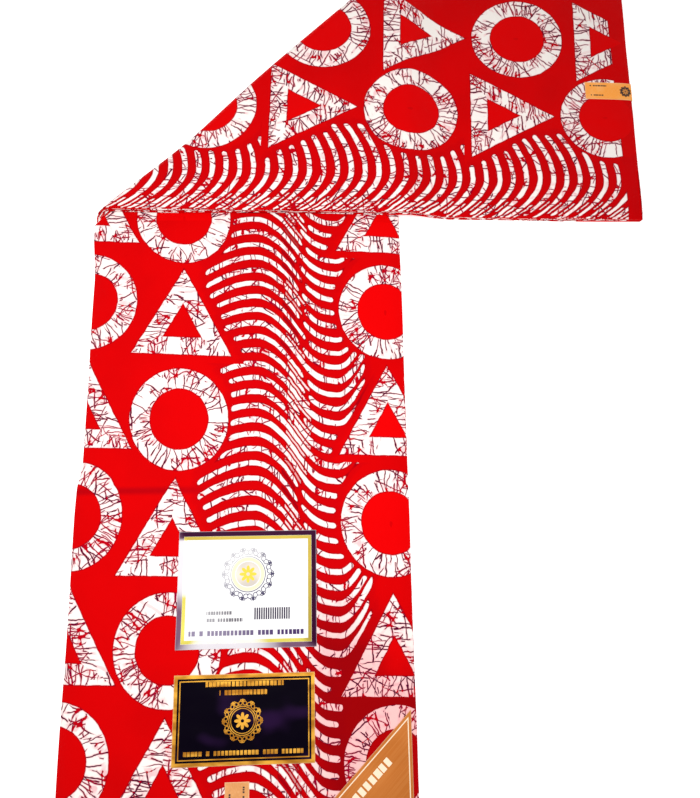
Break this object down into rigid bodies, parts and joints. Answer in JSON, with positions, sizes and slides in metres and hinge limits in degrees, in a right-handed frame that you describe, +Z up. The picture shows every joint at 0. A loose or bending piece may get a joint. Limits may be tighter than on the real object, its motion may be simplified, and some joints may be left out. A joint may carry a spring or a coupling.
{
  "type": "folded wax print fabric",
  "caption": "Length of wax print cotton folded in laps into a flat strip, turned once at a right angle on a diagonal fold, with blank-worded paper labels.",
  "frame": {"origin": "middle of the object's box on the surface that it lies on", "axes": "+Z up, -Y along the lower run towards its foot selvedge, +X along the arm towards its selvedge"},
  "size_m": [0.5666, 0.8736, 0.0213],
  "materials": {
    "printed_cotton": "calendered waxed cotton, red with ivory and dark crackle print",
    "white_paper": "glossy coated white paper with purple and gold borders",
    "navy_paper": "glossy coated dark blue paper with gold foil lines",
    "gold_foil_paper": "satin gold foil on paper",
    "tan_paper": "satin orange-tan paper"
  },
  "bodies": {
    "root": {"run_sheet": "printed_cotton", "hidden_laps": "printed_cotton", "arm_sheet": "printed_cotton", "white_label": "white_paper", "navy_label": "navy_paper", "corner_label": "gold_foil_paper", "foot_sticker": "tan_paper", "arm_sticker": "tan_paper"}
  },
  "joints": []
}
